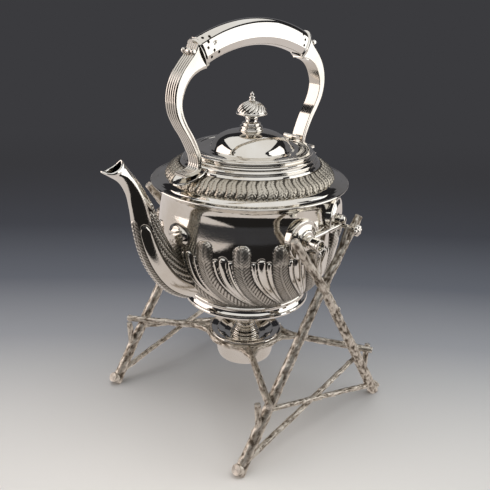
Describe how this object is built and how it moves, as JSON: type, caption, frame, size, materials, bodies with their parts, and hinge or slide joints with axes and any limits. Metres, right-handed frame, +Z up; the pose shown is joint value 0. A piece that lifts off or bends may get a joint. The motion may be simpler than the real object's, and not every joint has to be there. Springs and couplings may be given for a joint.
{
  "type": "spirit kettle on stand",
  "caption": "Silver-plated kettle with a hinged lid, curved spout and fixed hoop handle, tipping on a rustic branch stand that cradles a small spirit lamp with a lift-off cap.",
  "frame": {"origin": "on the floor plane, under the middle of the overall length and width; the kettle's vertical axis stands at X = +26.9 mm", "axes": "+Z up, -X towards the spout, -Y towards the near trestle of the stand, +Y towards the far one"},
  "size_m": [0.252, 0.2106, 0.3581],
  "materials": {
    "polished_silver": "polished silver plate, bright in the open and dark in the chased recesses",
    "oxidised_silver": "cast bark texture, frosted silver with dark oxidised recesses",
    "satin_silver": "satin silver plate",
    "cotton_wick": "matte braided cotton"
  },
  "bodies": {
    "stand": {"bearing_far": "polished_silver", "bearing_near": "polished_silver", "brace_front_far": "oxidised_silver", "brace_front_near": "oxidised_silver", "brace_rear_far": "oxidised_silver", "brace_rear_near": "oxidised_silver", "cradle_arm_front_far": "oxidised_silver", "cradle_arm_front_near": "oxidised_silver", "cradle_arm_rear_far": "oxidised_silver", "cradle_arm_rear_near": "oxidised_silver", "cradle_ring": "oxidised_silver", "leg_front_far": "oxidised_silver", "leg_front_near": "oxidised_silver", "leg_rear_far": "oxidised_silver", "leg_rear_near": "oxidised_silver", "pin_guide_far": "polished_silver", "pin_guide_near": "polished_silver"},
    "lid": {"lid_dome": "polished_silver", "lid_bezel": "polished_silver", "hinge_leaf_lid": "polished_silver", "finial_base": "polished_silver", "finial_cap": "polished_silver", "finial_tip": "polished_silver"},
    "pin_near": {"pin_near": "polished_silver", "pin_rosette_near": "polished_silver"},
    "pin_far": {"pin_far": "polished_silver", "pin_rosette_far": "polished_silver"},
    "lamp": {"lamp_reservoir": "satin_silver", "lamp_cover": "polished_silver", "wick_tube": "polished_silver", "wick": "cotton_wick"},
    "snuffer": {"snuffer_cap": "polished_silver"},
    "kettle": {"bowl": "polished_silver", "bowl_base": "polished_silver", "foot_ring": "polished_silver", "grip_collar_front": "polished_silver", "grip_collar_rear": "polished_silver", "handle_arm_front": "polished_silver", "handle_arm_rear": "polished_silver", "handle_grip": "polished_silver", "handle_pad_front": "polished_silver", "handle_pad_rear": "polished_silver", "hinge_leaf_neck": "polished_silver", "hinge_pin": "polished_silver", "neck_collar": "polished_silver", "pivot_boss_far": "polished_silver", "pivot_boss_near": "polished_silver", "rear_boss_far": "polished_silver", "rear_boss_near": "polished_silver", "rear_lug_far": "polished_silver", "rear_lug_near": "polished_silver", "shoulder_band": "polished_silver", "shoulder_plate": "polished_silver", "side_rail_far": "polished_silver", "side_rail_near": "polished_silver", "spout": "polished_silver", "spout_shell": "polished_silver", "trunnion_far": "polished_silver", "trunnion_near": "polished_silver"}
  },
  "joints": [
    {"name": "kettle_tilt", "type": "hinge", "parent": "stand", "child": "kettle", "pos_m": [0.012, 0, 0.1903], "axis": [0, -1, 0], "range_deg": [0, 45]},
    {"name": "lid_hinge", "type": "hinge", "parent": "kettle", "child": "lid", "pos_m": [0.0799, 0, 0.2519], "axis": [0, 1, 0], "range_deg": [0, 48]},
    {"name": "pin_near_slide", "type": "slide", "parent": "stand", "child": "pin_near", "axis": [0, -1, 0], "range_m": [0, 0.015]},
    {"name": "pin_far_slide", "type": "slide", "parent": "stand", "child": "pin_far", "axis": [0, 1, 0], "range_m": [0, 0.015]},
    {"name": "lamp_lift", "type": "slide", "parent": "stand", "child": "lamp", "axis": [0, 0, 1], "range_m": [0, 0.006]},
    {"name": "snuffer_lift", "type": "slide", "parent": "lamp", "child": "snuffer", "axis": [0, 0, 1], "range_m": [0, 0.005]}
  ]
}
